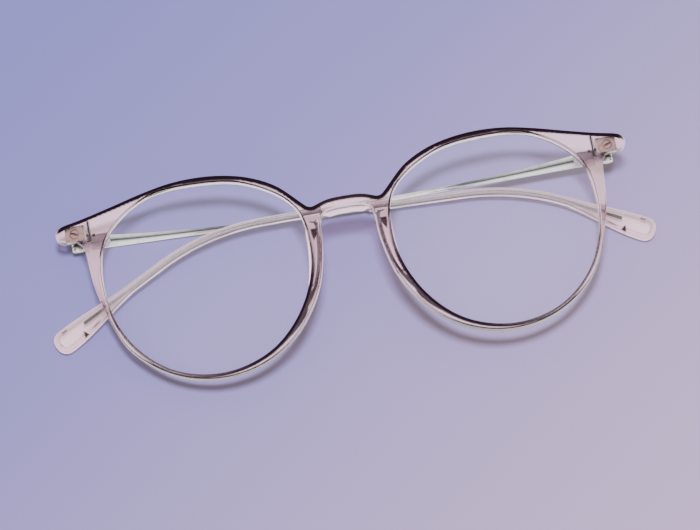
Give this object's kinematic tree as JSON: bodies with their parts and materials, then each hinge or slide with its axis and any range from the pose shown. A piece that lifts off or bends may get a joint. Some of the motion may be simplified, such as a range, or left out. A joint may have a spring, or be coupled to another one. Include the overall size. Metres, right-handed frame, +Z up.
{
  "type": "eyeglasses frame",
  "caption": "Full-rim eyeglasses lying folded: a clear moulded front with a saddle bridge, slim metal temples hinged to it, and clear sleeves on the temple tips.",
  "frame": {"origin": "middle of the bottom of the folded glasses' box, on the surface they lie on", "axes": "+X towards the wearer's left end of the front, +Y towards the brow, +Z up out of the lenses; the glasses lie on their folded temples"},
  "size_m": [0.151, 0.0508, 0.016],
  "materials": {
    "clear_acetate": "polished, clear with a faint mauve tint",
    "sleeve_acetate": "polished, clear with a faint mauve tint",
    "lens_plastic": "clear, polished and coated",
    "temple_metal": "bright silver plating",
    "hinge_metal": "satin nickel silver",
    "screw_metal": "bright turned",
    "washer_nylon": "moulded"
  },
  "bodies": {
    "front": {"front_frame": "clear_acetate", "left_lens": "lens_plastic", "right_lens": "lens_plastic", "left_nose_pad": "clear_acetate", "right_nose_pad": "clear_acetate", "left_front_hinge": "hinge_metal", "left_hinge_screw": "screw_metal", "left_lower_washer": "washer_nylon", "left_upper_washer": "washer_nylon", "right_front_hinge": "hinge_metal", "right_hinge_screw": "screw_metal", "right_lower_washer": "washer_nylon", "right_upper_washer": "washer_nylon"},
    "temple_left": {"left_temple_hinge": "hinge_metal", "left_temple_bar": "temple_metal", "left_tip_sleeve": "sleeve_acetate"},
    "temple_right": {"right_temple_hinge": "hinge_metal", "right_temple_bar": "temple_metal", "right_tip_sleeve": "sleeve_acetate"}
  },
  "joints": [
    {"name": "left_temple_fold", "type": "hinge", "parent": "front", "child": "temple_left", "pos_m": [0.06631, 0.01708, 0.00678], "axis": [0, -0.9938, -0.1113], "range_deg": [0, 93]},
    {"name": "right_temple_fold", "type": "hinge", "parent": "front", "child": "temple_right", "pos_m": [-0.06643, 0.01753, 0.00275], "axis": [0, 0.9938, 0.1113], "range_deg": [0, 91]}
  ]
}
